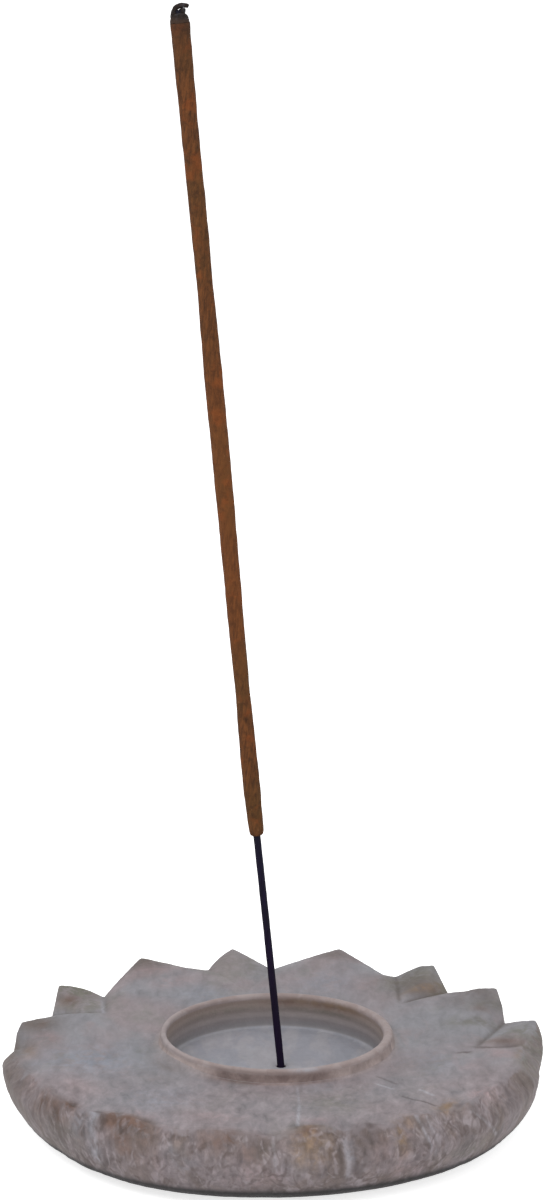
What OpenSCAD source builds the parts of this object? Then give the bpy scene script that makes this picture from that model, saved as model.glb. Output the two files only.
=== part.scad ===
// Incense stick holder: a turned stone dish with a lotus rim of large and small
// petals, a ring cup in its middle, and one incense stick that stands in a hole
// drilled in the cup's floor. Millimetres, +Z up. The origin is the centre of the
// dish's foot, on the surface that the dish stands on.

/* [Dish] */
// Radius of the dish at its widest, the belly
belly_r = 51; // [46:0.5:54]
// Height of the belly above the foot
belly_z = 13; // [12:0.1:13.5]
// Radius of the flat foot
foot_r = 41; // [36:0.5:44]
// Height of the petal tips
rim_z = 15.5; // [15.3:0.1:17]
// Radius that rounds the rim's shoulder
shoulder_round = 2.5; // [1:0.1:3]
// Height of the brim where it meets the ring
brim_z = 13.8; // [13:0.1:14.4]

/* [Ring cup] */
// Inner radius of the cup, which takes a small candle
cup_r = 20.25; // [16:0.25:24]
// Height of the cup's floor
floor_z = 9.5; // [8:0.1:11]
// Radius of the corner between the cup's wall and floor
cup_round = 0.8; // [0.4:0.1:1.5]
// Height of the ring's top
ring_z = 16; // [15.6:0.1:19]
// Thickness of the ring's wall
ring_wall = 2; // [1.6:0.1:3.5]
// Radius that rounds the ring's lip
lip_round = 0.7; // [0.3:0.1:0.8]

/* [Lotus petals] */
// Number of small petals, with a large petal between each two
petals = 8; // [6:1:10]
// Direction of the first small petal, in degrees
lotus_turn = 8.8; // [0:0.1:45]
// Part of one pair of petals that the small petal takes
small_share = 0.38; // [0.32:0.01:0.45]
// Distance from the middle to the apex of a small petal
apex_r = 31.5; // [28:0.5:36]
// Distance from the middle to the valley between two petals
valley_r = 44.8; // [43:0.1:47]
// Height of the valley between two petals
valley_z = 12.7; // [11:0.1:13]
// How far the ridge of a small petal lies below the rim at its tip
small_drop = 0.4; // [0.3:0.05:0.8]
// Rise of a large petal's flank out of the groove, in degrees
flank_rise = 24; // [20:1:40]
// Lean of the notch in the outer wall, in degrees
notch_lean = 34; // [20:1:40]

/* [Stick hole] */
// Play of the stick in the drilled hole
hole_play = 0.3; // [0.2:0.05:0.6]
// Length of the hole from the cup's floor to its bottom
hole_depth = 6.5; // [5:0.1:7]
// Width of the bevel round the hole's mouth
hole_bevel = 0.15; // [0.1:0.05:0.5]
// Lean of the hole and of the stick in it, in degrees
stick_lean = 5.3; // [0:0.1:10]
// Sideways place of the hole's mouth, drilled by eye a little off the middle
hole_x = 1.3; // [-4:0.1:4]
// Front to back place of the hole's mouth
hole_y = -0.95; // [-4:0.05:4]

/* [Incense stick] */
// Diameter of the bamboo core
core_d = 1.4; // [1:0.1:1.6]
// Length of the stick from its foot to the top of its core
stick_length = 203.1; // [150:0.1:240]
// Length of core that the coating leaves bare
bare_length = 51.8; // [30:0.1:70]
// Diameter of the coating near its lower end
coat_low_d = 2.9; // [2.4:0.1:3.4]
// Diameter of the coating near its top
coat_top_d = 3.4; // [2.6:0.1:4]
// Length over which the coating thins out at its lower end
coat_taper = 9; // [4:0.5:20]

/* [Burnt end] */
// Height of the burnt end above the coating
burnt_height = 1.7; // [1.5:0.1:2.5]
// Length of core that stands out of the burnt end
wick_height = 0.5; // [0.3:0.1:0.8]
// Radius of the curl of ash, to the middle of its strand
curl_r = 1.4; // [1.3:0.1:1.8]
// Diameter of the curl's strand at the burnt end
curl_d = 0.8; // [0.6:0.1:1]
// Sideways place of the curl's centre, to the side that it bends to
curl_shift = 0.5; // [0.2:0.05:0.7]
// How far round the curl goes, in degrees
curl_turn = 135; // [90:1:150]

/* [Hidden] */
$fn = 96;

// Overrun of every cutter past the surface that it opens
over = 1;
// Gap between the foot of the stick and the bottom of its hole
seat_gap = 0.05;
// How far the grooves of a small petal meet above the brim, so that they fade in
groove_start = 0.1;
// Where the sides of a petal meet on the shoulder's rounding, in degrees from level
tip_angle = 60;
// Ends of the coating: share of the full diameter left at the very end
coat_end_share = 0.84;
// Height of the rounding at the coating's lower end
coat_end_round = 0.6;
// Burnt end: share of its height at which the dome begins, and of its width at the top
dome_shares = [0.35, 0.72];
// Number of facets on the curved dome of the burnt end
dome_steps = 6;
// How far the curl reaches down into the dome, in degrees
root_turn = 25;

// The wall's curve is one arc through the edge of the foot and the belly
belly_arc_r = (pow(belly_r - foot_r, 2) + pow(belly_z, 2)) / (2 * (belly_r - foot_r));
belly_arc_x = belly_r - belly_arc_r;

// Centre of the shoulder's rounding, which touches that arc from within
shoulder_z = rim_z - shoulder_round;
shoulder_x = belly_arc_x + sqrt(pow(belly_arc_r - shoulder_round, 2) - pow(shoulder_z - belly_z, 2));

// The brim rises evenly from the ring to the rim
ring_r = cup_r + ring_wall;
brim_slope = (rim_z - brim_z) / (shoulder_x - ring_r);
function brim_at(r) = brim_z + brim_slope * (r - ring_r);

// Half angles of the two kinds of petal, from petal to valley
pair_angle = 360 / petals;
small_half = small_share * pair_angle / 2;
large_half = pair_angle / 2 - small_half;

// Point on the shoulder where the sides of a petal meet
tip_r = shoulder_x + shoulder_round * cos(tip_angle);
tip_z = shoulder_z + shoulder_round * sin(tip_angle);

core_r = core_d / 2;
hole_d = core_d + hole_play;
coat_length = stick_length - bare_length - burnt_height - wick_height;

// Point at radius r, height z, and angle a round the axis
function polar(r, a, z) = [r * cos(a), r * sin(a), z];

// Half section of the turned blank, before the cup and the petals are cut
module blank_section() {
    difference() {
        union() {
            polygon([[0, 0], [foot_r, 0], [shoulder_x, shoulder_z], [shoulder_x, rim_z], [0, rim_z]]);
            intersection() {
                translate([belly_arc_x, belly_z]) circle(r = belly_arc_r, $fn = 2 * $fn);
                translate([belly_arc_x, 0]) square([belly_arc_r + over, shoulder_z]);
            }
            translate([shoulder_x, shoulder_z]) circle(r = shoulder_round);
        }
        polygon([
            [-over, brim_z], [ring_r, brim_z], [belly_r + over, brim_at(belly_r + over)],
            [belly_r + over, ring_z + over], [-over, ring_z + over]
        ]);
    }
}

// Half section of the ring that stands on the brim, with a rounded lip
module ring_section() {
    translate([cup_r, floor_z]) square([ring_wall, ring_z - lip_round - floor_z]);
    translate([cup_r + lip_round, floor_z]) square([ring_wall - 2 * lip_round, ring_z - floor_z]);
    for (x = [cup_r + lip_round, ring_r - lip_round])
        translate([x, ring_z - lip_round]) circle(r = lip_round);
}

// Half section of the space inside the cup, with a rounded corner at its floor
module cup_section() {
    translate([0, floor_z + cup_round]) square([cup_r, ring_z + over - floor_z - cup_round]);
    translate([0, floor_z]) square([cup_r - cup_round, ring_z + over - floor_z]);
    translate([cup_r - cup_round, floor_z + cup_round]) circle(r = cup_round);
}

// Carries its children to the bottom of the hole and along its lean
module in_hole() {
    translate([hole_x, hole_y, floor_z]) rotate([0, -stick_lean, 0])
        translate([0, 0, -hole_depth]) children();
}

// Hole for the stick, with a bevelled mouth
module stick_hole() {
    in_hole() cylinder(d = hole_d, h = hole_depth + over);
    translate([hole_x, hole_y, floor_z - hole_bevel])
        cylinder(d1 = hole_d, d2 = hole_d + 2 * (hole_bevel + over), h = hole_bevel + over);
}

// Groove beside a small petal that points along +X. It starts over the petal's apex
// and deepens to the valley. Its gentle side is half of the small petal, and its
// steep side is the flank of the large petal.
module petal_groove() {
    start = [apex_r, 0, brim_at(apex_r) + groove_start];
    valley = polar(valley_r, small_half, valley_z);
    run = valley - start;
    plan_angle = atan2(run.y, run.x);
    fall = atan2(-run.z, norm([run.x, run.y]));
    tip = [shoulder_x, 0, rim_z - small_drop] - start;
    tip_side = tip.x * sin(plan_angle);
    tip_up = tip.x * cos(plan_angle) * sin(fall) + tip.z * cos(fall);
    small_rise = atan2(tip_up, tip_side);
    reach = belly_r - apex_r;
    translate(start) rotate([0, 0, plan_angle]) rotate([0, 90 + fall, 0])
        linear_extrude(2 * reach)
            polygon([
                [0, 0],
                [-reach * tan(flank_rise), reach],
                [-reach, reach], [-reach, -reach],
                [-reach * tan(small_rise), -reach]
            ]);
}

// Notch in the outer wall below one valley, which points along +X. Its two sides run
// out at the tips of the petals beside it, and it fades towards the foot.
module wall_notch() {
    small_tip = polar(tip_r, -small_half, tip_z) - [valley_r, 0, valley_z];
    large_tip = polar(tip_r, large_half, tip_z) - [valley_r, 0, valley_z];
    function out_of(p) = p.x * cos(notch_lean) + p.z * sin(notch_lean);
    reach = belly_r / 2;
    translate([valley_r, 0, valley_z]) rotate([0, -notch_lean, 0])
        linear_extrude(2 * belly_z, center = true)
            polygon([
                [0, 0],
                [reach * out_of(small_tip) / -small_tip.y, -reach],
                [reach, -reach], [reach, reach],
                [reach * out_of(large_tip) / large_tip.y, reach]
            ]);
}

// One half of the cuts round a small petal that points along +X
module half_petal_cuts() {
    petal_groove();
    rotate([0, 0, small_half]) wall_notch();
}

// The dish is one stone: turned, hollowed, drilled and carved
module stone_dish() {
    color("rosybrown") difference() {
        rotate_extrude() {
            blank_section();
            ring_section();
        }
        rotate_extrude() cup_section();
        stick_hole();
        for (i = [0 : petals - 1])
            rotate([0, 0, lotus_turn + i * pair_angle]) {
                half_petal_cuts();
                mirror([0, 1, 0]) half_petal_cuts();
            }
    }
}

// Carries its children to the stick's foot and along its lean
module on_stick() {
    in_hole() translate([0, 0, seat_gap]) children();
}

// Dyed bamboo splint that carries the incense
module bamboo_core() {
    color("indigo") on_stick() cylinder(r = core_r, h = stick_length);
}

// Half section of the rolled coating, which thins out at its lower end
module coating_section() {
    low_r = coat_low_d / 2;
    end_r = low_r * coat_end_share;
    polygon([
        [core_r, bare_length],
        [end_r - coat_end_round / 2, bare_length],
        [end_r, bare_length + coat_end_round],
        [low_r, bare_length + coat_taper],
        [coat_top_d / 2, bare_length + coat_length],
        [core_r, bare_length + coat_length]
    ]);
}

module incense_coating() {
    color("saddlebrown") on_stick() rotate_extrude() coating_section();
}

// Half section of the burnt end, a dome round the core with straight sides below
module burnt_section() {
    top_r = coat_top_d / 2;
    dome_z = burnt_height * dome_shares[0];
    crown_r = top_r * dome_shares[1];
    polygon(concat(
        [[0, 0], [top_r, 0]],
        [for (i = [0 : dome_steps])
            let (a = 90 * i / dome_steps)
            [top_r - crown_r * (1 - cos(a)), dome_z + (burnt_height - dome_z) * sin(a)]],
        [[0, burnt_height]]
    ));
}

// Curl of ash that grows out of one side of the burnt end and bends over its top
module ash_curl() {
    translate([curl_shift, 0, burnt_height]) rotate([90, 0, 0])
        rotate([0, 0, 180 - curl_turn])
            rotate_extrude(angle = curl_turn + root_turn) translate([curl_r, 0]) circle(d = curl_d);
}

// Burnt end of the coating, with its curl of ash
module burnt_tip() {
    color("dimgray") on_stick() translate([0, 0, bare_length + coat_length]) difference() {
        union() {
            rotate_extrude() burnt_section();
            ash_curl();
        }
        translate([0, 0, -over]) cylinder(r = core_r, h = over + burnt_height + wick_height);
    }
}

stone_dish();
bamboo_core();
incense_coating();
burnt_tip();
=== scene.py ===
"""Looks of the incense stick holder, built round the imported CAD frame.

The dish is one dense hand-carved mesh on the CAD dish's own sizes. The stick's core,
coating and burnt end are lumpy, slightly bowed meshes on the CAD stick's axis.
Lengths are in millimetres and angles in degrees until a mesh is made.
"""
import math

import bpy
import numpy as np
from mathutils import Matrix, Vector, noise


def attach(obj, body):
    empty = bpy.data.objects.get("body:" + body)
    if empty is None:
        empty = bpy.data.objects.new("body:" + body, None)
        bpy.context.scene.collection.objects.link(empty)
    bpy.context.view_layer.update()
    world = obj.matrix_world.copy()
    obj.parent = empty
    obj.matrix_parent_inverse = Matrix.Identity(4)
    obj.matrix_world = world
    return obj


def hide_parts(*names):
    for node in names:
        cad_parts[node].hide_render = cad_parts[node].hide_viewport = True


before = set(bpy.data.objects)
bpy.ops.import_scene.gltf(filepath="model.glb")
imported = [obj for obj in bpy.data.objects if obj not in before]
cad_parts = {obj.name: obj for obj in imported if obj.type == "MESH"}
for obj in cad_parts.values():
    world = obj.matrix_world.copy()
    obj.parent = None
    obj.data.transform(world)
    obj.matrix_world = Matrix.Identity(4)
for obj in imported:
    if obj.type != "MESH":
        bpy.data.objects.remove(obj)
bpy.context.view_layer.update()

MM = 0.001

# Dish, within 0.1 mm of the CAD source
BELLY_R, BELLY_Z, FOOT_R = 51.0, 13.0, 41.0
BRIM_Z, RIM_Z, RIM_R = 13.8, 15.5, 48.5
CUP_R, CUP_ROUND, FLOOR_Z = 20.3, 0.8, 9.5
RING_R, RING_Z, LIP = 22.15, 16.0, 0.75
# The ring's lip is a little higher in front than at the back
LIP_RISE, LIP_TILT = 0.25, 0.15
# Fillet at the ring's foot: height, width, and how much larger it is at the left front
RING_FILLET, FILLET_WIDTH, FLARE, FLARE_AT, FLARE_SPAN = 0.2, 0.5, 4.5, 214, 22
# The cup was turned a little off the ring's middle
CUP_X, RING_X = 0.15, 0.5
HOLE = (1.3, -0.95)
HOLE_R, HOLE_BEVEL, HOLE_DEPTH = 0.85, 0.15, 6.5
LEAN, SEAT_GAP = math.radians(5.3), 0.05

# The carved rim, anticlockwise from the right: angle, radius, height, lean of the wall
# below it from upright, and bulge of the edge that follows
RIM = [(-3.5, 46.2, 14.4, 58, 0), (3, 48.4, 14.8, 55, 0.4), (10, 50.3, 15.1, 25, 0.2),
    (13.5, 48, 14, 20, 0), (16.9, 45.8, 12.7, 10, 0), (24, 48.1, 14, 10, 0), (31, 50.4, 15.4, 8, 0),
    (42, 45.6, 12.8, 30, 0), (51.5, 50.7, 15.4, 25, 0), (54.4, 49.4, 15, 25, 0.2),
    (58.2, 45.4, 13.3, 37, 0), (62, 46, 13.1, 30, 0), (75.2, 51.4, 15.5, 10, 0.1),
    (90.5, 44.5, 12.7, 37, 0), (99.4, 50.7, 15.35, 25, 0.9), (106.9, 44.9, 13.2, 37, 0),
    (111, 46.6, 13.3, 30, 0.2), (121.3, 51.1, 15.4, 15, 0.2), (140.8, 42.7, 13.1, 37, 0),
    (143.2, 45.4, 14.7, 20, 0), (144.6, 48.4, 15.2, 15, 0), (146.6, 50.1, 15.5, 10, 0),
    (158.2, 45.7, 13, 14, 0), (163, 45.1, 14.1, 15, 0), (167.5, 46.2, 14.9, 12, 0),
    (171.2, 48.3, 15.2, 10, 0), (177, 48.4, 14.9, 10, 0), (181.5, 48.4, 14, 12, 0),
    (184, 48.2, 13.8, 32, 0), (187, 48.7, 14.3, 50, 0), (192, 48, 14.7, 60, 0), (201, 48.4, 14.8, 45, 0),
    (208, 48.2, 15, 38, 0), (213.5, 49.1, 15, 28, 0), (218.5, 50.1, 15, 18, 0),
    (224.5, 49.6, 14.4, 22, 0), (231, 49.8, 15.1, 22, 0), (238, 48.3, 15.3, 32, 0),
    (244.8, 48, 14.4, 34, 0), (250, 49.8, 15.1, 20, 0), (257, 48.4, 15.4, 32, 0), (264, 49, 15.2, 27, 0),
    (270, 47.3, 14.1, 37, 0), (274.5, 46.7, 15.2, 42, 0), (281, 46.8, 15.3, 42, 0),
    (285.4, 46.8, 14.1, 38, 0), (290, 48, 15.3, 33, 0), (294, 48.8, 15, 28, 0), (299, 46.8, 15.3, 40, 0),
    (305, 47.8, 15.2, 35, 0), (310.3, 46.8, 14.2, 40, 0), (315.5, 48.4, 15.1, 32, 0),
    (321.5, 47.9, 15.1, 35, 0), (328, 47.2, 14.9, 38, 0), (333, 47.7, 15, 38, 0), (341, 47.5, 15, 42, 0),
    (350, 46.6, 14.9, 44, 0)]
# Columns of the mesh round the dish, and how many of them go to one of the ring and cup
COLUMNS, INNER_STEP = 840, 3
# Relative spacing of the mesh's rows, from the ring to the rim and from the rim to the foot
TOP_STEPS = [1] * 7 + [0.45] * 34 + [0.28] * 8
WALL_STEPS = [0.25] * 8 + [0.42] * 30
FLOOR_ROWS, FILLET_ROWS, CUP_ROWS, LIP_ROWS = 14, 6, 14, 9
# Rows of the hole and of the ring's outside, as shares of their height, and of the foot
HOLE_STEPS, RING_STEPS = (1.0, 0.5, 0.15, 0.0), (0.88, 0.7, 0.5, 0.3, 0.12)
FOOT_RADII = (FOOT_R - 0.5, 34, 26, 17, 8)
# Rows of the top that stay as they are, next to the ring, when the arrises are rounded
SHARP_ROWS = 12
# How the brim rises from the ring to the rim, and how far past the rim it goes on
BRIM_CURVE, BRIM_REACH = 1.2, 1.15
# Over what width the top droops to the rim's height
DROOP_WIDTH = 3.5
# Inset, batter and bulge of the ring's outside, and fullness of its lip
LIP_INSET, RING_BATTER, RING_BULGE, LIP_FULLNESS = 0.42, 0.35, 0.1, 0.8
# Creases are rounded over these widths: wall and cut face, brim and petal, the two flanks
# of a petal, one petal and the next
FACE_CREASE, BRIM_CREASE, RIDGE_CREASE, PETAL_CREASE = 0.9, 0.7, 0.25, 0.1
# A bead that the turning left above the foot: size, height, half height
BEAD, BEAD_Z, BEAD_HALF = 0.7, 2.3, 1.3

# Small petals with a carved top: apex (angle, radius), tip (angle, radius, height), the
# valleys at their sides (angle, radius, height), and how clearly their grooves show
CARVED = [
    ((351.5, 37.5), (10, 50.3, 15), (-3.5, 46.2, 14.3), (16.9, 45.8, 12.7), 0.8),
    ((40.3, 31.3), (51.5, 50.7, 15.2), (42, 45.6, 12.8), (58.2, 45.4, 13.6), 0.8),
    ((101.3, 28.8), (99.4, 50.7, 15.2), (90.5, 44.5, 12.7), (106.9, 44.9, 13.8), 0.15),
    ((155.7, 35.4), (146.6, 50.1, 15.1), (140.8, 42.7, 13.1), (158.2, 45.7, 13), 0.5),
]
FLANK_RISE = math.tan(math.radians(24))
# Groove at each flank: length over which it begins, half width, depth, half width of the
# painted shade in it, and rounding of the flank's foot
GROOVE_START, GROOVE_HALF, GROOVE_DEPTH, SHADE_HALF, FLANK_ROUND = 3, 0.32, 0.3, 0.5, 0.12

# How far the wall departs from the turned form: (angle, amount) for its upper part and for
# its lower part, and the heights between which one goes over into the other
SWELL_LOW, SWELL_HIGH = 4, 9
UPPER_SWELL = [(0, -0.5), (10, 0), (60, 0.3), (150, 0.2), (167, -0.3), (181, -0.2), (189, 0), (195, 0.2),
    (215, 0), (315, 0), (328, -0.3), (338, -0.3), (345, -0.5), (352, -1.2), (360, -0.5)]
LOWER_SWELL = [(0, 0.5), (60, 0.2), (180, 0.5), (191, 0.6), (203, 0.2), (215, 0.3), (225, 0.9),
    (236, 1.3), (248, 1.1), (258, 0.6), (268, 0), (285, -0.1), (310, 0), (340, 0), (352, 0.5),
    (360, 0.5)]

# Saw cuts between the front petals: angle and height at the top, then at the bottom,
# width, depth and paleness
CUTS = [(230.2, 14.4, 230.8, 6.5, 1.4, 0.1, 0.6), (248.5, 14.8, 249.5, 9.5, 0.45, 0.1, 0.22),
    (269.6, 14.6, 270.4, 9, 0.4, 0.15, 0.25), (284.8, 12.6, 285.2, 6.5, 0.62, 0.24, 0.34),
    (301.9, 15, 303.4, 9, 0.35, 0.1, 0.35), (304.2, 14.6, 304.8, 8, 0.3, 0.1, 0.25),
    (315.6, 13.5, 324.1, 6.9, 0.35, 0.08, 0.35), (355, 13, 356, 6, 1.2, 0.3, 0.1)]

# Patches of other colours on the wall: angle, height, half width, half height, strength,
# in order of angle. They were placed one by one from the photograph.
WALL_PATCHES = {
    "umber": [(184, 12, 8, 5, 1), (192, 13.8, 3, 1, 0.5), (198, 9, 7, 6, 1), (217, 4.5, 7, 3, 0.8),
        (219.5, 10, 5, 3, 0.9), (241.5, 13.6, 3, 1.6, 0.8), (243.5, 12.4, 2.5, 1.6, 0.6),
        (263.4, 14.3, 2, 1.2, 0.6), (267.6, 12.4, 2.5, 1.6, 0.7), (271, 14.6, 2, 1, 0.5),
        (276, 14, 2, 1.4, 0.4), (279, 14, 2.5, 1.2, 0.5), (301.8, 12.2, 1.2, 2, 0.5),
        (340, 10, 10, 4, 0.3)],
    "rust": [(214.5, 13, 2.4, 2, 1), (218.5, 13.6, 2.2, 1.6, 0.8), (220, 12.4, 2.6, 1.6, 0.9),
        (222.6, 14.4, 2.2, 1.2, 1), (234.6, 14.3, 2.4, 1.7, 1.2), (237.4, 11.6, 2.6, 1.5, 0.8),
        (238.1, 14.3, 2.4, 1.5, 1.2), (238.7, 9.7, 1.8, 1.2, 0.7), (241, 13.9, 2.4, 1.4, 0.9),
        (242.8, 12.4, 2.2, 2, 0.6), (255.8, 13.4, 1.8, 2, 0.5), (258.6, 13.3, 2, 1.8, 0.7),
        (261, 14, 1.8, 1.4, 0.9), (264.5, 12.2, 2, 2, 0.5), (277.4, 14.4, 2, 1.8, 1),
        (292.5, 13.2, 1.6, 1.6, 0.3)],
    "gold": [(250, 12.5, 1.6, 2.4, 0.3), (275.1, 11.6, 1.8, 3.2, 0.6), (277.4, 13.2, 2, 4, 0.8),
        (280.4, 13, 1.8, 3, 0.6), (296.7, 12.3, 1.3, 2.6, 0.9), (299, 14, 2, 1.4, 0.4),
        (311.5, 14.6, 2.6, 0.9, 0.8)],
    "dark": [(219.5, 13, 1.2, 1.2, 0.5), (223.3, 15, 0.6, 0.6, 1), (231.5, 15, 0.9, 0.5, 0.4),
        (238, 12.5, 1.5, 1.3, 0.5), (283.5, 10.5, 0.3, 3, 0.35), (286.6, 10.4, 0.5, 3.2, 0.6),
        (288.7, 13.4, 2, 2.4, 0.5), (290.4, 15, 1, 0.5, 0.8), (297.4, 11.2, 0.7, 0.8, 0.2),
        (309.8, 15, 1, 0.6, 0.9), (313.2, 14.9, 1, 0.6, 0.7), (330, 12.5, 0.6, 3, 0.5),
        (337, 11.5, 0.5, 3, 0.5)],
    "pink": [(206, 14, 3, 2, 0.5), (232, 11, 1.6, 2.6, 0.5), (245, 8.5, 4, 2, 0.4),
        (247, 13.8, 3, 1.6, 0.5), (264.5, 14.9, 2.5, 0.8, 0.2), (265.2, 6.3, 3, 1.6, 0.8),
        (266, 8.5, 4, 2.5, 0.5), (269, 13, 4, 2, 0.3), (270.5, 7.8, 3, 2.4, 0.7),
        (292.5, 10.5, 2.5, 2, 0.5), (297, 9.6, 2, 2, 0.5), (298, 6.5, 4, 2, 0.5),
        (299, 12.7, 2, 1.4, 0.5), (301, 5.4, 3, 1.6, 0.6), (303, 9.5, 4, 2, 0.4),
        (323.5, 14.6, 3, 1.6, 1)],
    "olive": [(0, 12.5, 8, 3, 0.7), (186, 11, 5, 4, 0.6), (222, 8.5, 5, 2.5, 0.5), (316, 6.5, 6, 2, 0.5),
        (346, 13.5, 5, 2, 0.7)],
    "blue": [(226, 11.5, 3, 3, 0.5), (249.8, 10.8, 2, 2, 0.5), (251, 9, 3, 2, 0.4),
        (272.4, 8.8, 3, 1.8, 0.7), (285.9, 10.8, 0.8, 2.4, 0.5), (304, 11, 2, 2.5, 0.4)],
}
# The same on the top: angle, radius, half width, half depth, strength
TOP_PATCHES = {
    "umber": [(29.5, 41, 4, 4, 0.45), (31, 46, 8, 5.5, 0.6), (47.7, 41, 6, 6, 0.8),
        (75.5, 48.2, 5, 3, 0.7), (121, 48.5, 6.5, 4, 1), (124, 43.5, 4, 3, 0.35), (171, 45.5, 6, 4.5, 1),
        (182.5, 42.8, 4, 3, 0.4), (184, 46, 4, 3, 0.6), (214, 23.9, 5, 1.5, 0.6), (221, 29, 6, 4, 0.2),
        (334, 29, 6, 4, 0.3), (357.5, 42.5, 2.6, 5, 0.45)],
    "rust": [(22, 42.5, 1.6, 2, 0.5), (44, 42.5, 1.5, 3.2, 0.5), (151.3, 45, 2, 2.4, 0.75),
        (171, 44, 2.4, 0.7, 0.5), (186.4, 45.6, 2, 1.6, 0.4), (358.2, 43, 1.4, 4.2, 0.6)],
    "gold": [(45.6, 41.2, 0.9, 4, 0.9), (190, 46, 3, 1.4, 0.5), (311.9, 46.2, 2.6, 1.6, 0.9),
        (350, 46, 3, 0.8, 0.5)],
    "olive": [(4, 46.5, 4, 4, 0.7), (13.6, 39.5, 2.2, 6, 0.7), (24, 45, 2, 4, 0.6),
        (43, 44.5, 3, 3.5, 1.6), (52, 43, 5, 7, 1), (96.5, 44, 2.2, 6, 0.5), (101, 45, 5, 6, 0.4),
        (145.5, 46.5, 3.5, 4, 1.4), (151.6, 42, 4, 6, 0.8), (165, 46, 5, 1.6, 0.7),
        (287.8, 34.3, 5, 6, 0.5)],
    "pink": [(59.4, 36, 2, 5, 0.5), (74.2, 47.5, 5, 3, 0.6), (122.5, 45, 6, 3, 0.8),
        (122.6, 37.5, 5, 3, 0.5), (181.1, 42.5, 4, 3, 0.8), (214, 44, 6, 3, 0.4), (240, 46, 5, 1.4, 0.5),
        (255, 42, 7, 3, 0.5), (279.6, 44, 3, 2, 0.6), (322.5, 47, 3, 1.4, 1), (338.7, 38.6, 4, 3, 0.4),
        (348.4, 43, 2.4, 3, 0.6)],
    "dark": [(67, 50, 2, 0.8, 0.5), (348.5, 36.3, 0.5, 0.8, 0.9), (353.4, 39.5, 0.5, 2.6, 0.6)],
    "blue": [(71.6, 34, 6, 6, 0.5), (118, 29, 6, 5, 0.5), (198.6, 35.8, 8, 9, 0.9), (237, 38, 7, 7, 0.5),
        (290, 26, 4, 3, 0.3), (339.5, 31, 6, 6, 0.5)],
}
# The same in the cup and on its lip: angle, height, half width, half height, strength
CUP_PATCHES = {
    # Both pale patches are painted light: the first lightens the lip's left side, the second is a
    # highlight on a chip in the lip's front
    "pale": [(185, 16.2, 9, 0.7, 0.2), (286, 16.2, 2.4, 0.35, 0.7)],
    "rust": [(60, 14.6, 7, 0.9, 0.7), (82, 14.6, 5, 1, 0.7)],
    "gold": [(52, 15, 6, 0.6, 0.8), (70, 15, 4, 0.7, 0.6)],
    "olive": [(62, 13.4, 9, 0.5, 0.6), (120, 13.6, 8, 0.6, 0.4)],
}
# Lines on the top: angle and radius at each end, width, what it looks like and how much
TOP_LINES = [(280.1, 23.8, 277.6, 34, 0.22, "pale", 0.4), (277.6, 34, 275.2, 45.5, 0.26, "pale", 0.75),
    (307.5, 37.9, 307.9, 40.7, 0.24, "dark", 0.6), (307.9, 40.7, 310.1, 44.5, 0.28, "dark", 0.7),
    (316, 26.5, 314, 31.9, 0.22, "dark", 0.55), (309.6, 29.2, 309.8, 33.5, 0.26, "pale", 0.6),
    (314.5, 37.5, 313.3, 41.5, 0.28, "pale", 0.6), (347.7, 34.8, 349.2, 37, 0.4, "dark", 0.5),
    (155.7, 35.8, 140.5, 43, 0.4, "pale", 0.7)]
# How far the wall's patches run over the arris onto the top
OVER_ARRIS = 1.2
# Dark edges of a saw cut: distance and half width in widths of the cut, strength beside its
# paleness, and the part of it that the left edge has
EDGE_AT, EDGE_HALF, EDGE_DARK, LEFT_EDGE = 1.5, 0.5, 0.9, 0.3
# Depths of a dark line on the top, and of the turning marks on the brim
LINE_DEPTH, TURNING = 0.1, 0.02
# Lumps by depth, wavelength and seed: the wall's, and the upright facets of the chisel on
# it; the brim's waves and grain; the floor's; and those of the ring, its lip and the cup
WALL_LUMPS, FACETS, FACET_STRETCH = (0.16, 9.0, 1), (0.13, 1.6, 2), np.array([1, 1, 0.3])
BRIM_WAVES, BRIM_GRAIN = (0.10, 14.0, 3), (0.035, 2.2, 4)
FLOOR_LUMPS = 0.04, 5.0, 8
TURNED_LUMPS = {"ring": (0.07, 3.0, 5), "lip": (0.06, 3.0, 6), "cup": (0.06, 4.0, 7)}

# Colours of the patches, in the order in which they are laid
TINT_COLOURS = {
    "blue": (129, 132, 142), "olive": (106, 104, 95), "pink": (146, 129, 131), "umber": (97, 88, 84),
    "rust": (98, 77, 68), "gold": (126, 106, 88), "pale": (160, 160, 168), "dark": (68, 58, 56),
}
ZONES = ("top", "wall", "ring", "lip", "cup", "floor", "hole", "foot")


def smooth_min(a, b, k):
    """Lower of two surfaces, with the crease between them rounded over about k."""
    h = np.clip(k - np.abs(a - b), 0, None) / k
    return np.minimum(a, b) - h * h * k / 4


def spread(values, width):
    """Gaussian smoothing of evenly spaced values."""
    n = int(3 * width) + 1
    kernel = np.exp(-0.5 * (np.arange(-n, n + 1) / width) ** 2)
    return np.convolve(np.pad(values, n, mode="edge"), kernel / kernel.sum(), "valid")


def rumple(points, scale, seed, octaves):
    """Smooth noise from about -1 to 1 at each point; scale is its wavelength."""
    shift = Vector((seed * 17.31, seed * 5.73, seed * 9.17))
    return np.array([noise.fractal(Vector(p) / scale + shift, 0.9, 2.1, octaves) for p in points])


def polar(angle, radius):
    a = math.radians(angle)
    return np.array([radius * math.cos(a), radius * math.sin(a)])


def from_table(table, at):
    """Values of a table of (place, value) at the places given."""
    place, value = zip(*table)
    return np.interp(at, place, value)


def swell(table, theta):
    """A value from a table of (angle, value) from 0 to 360 degrees, at each direction."""
    return from_table(table, np.degrees(theta) % 360)


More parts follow.
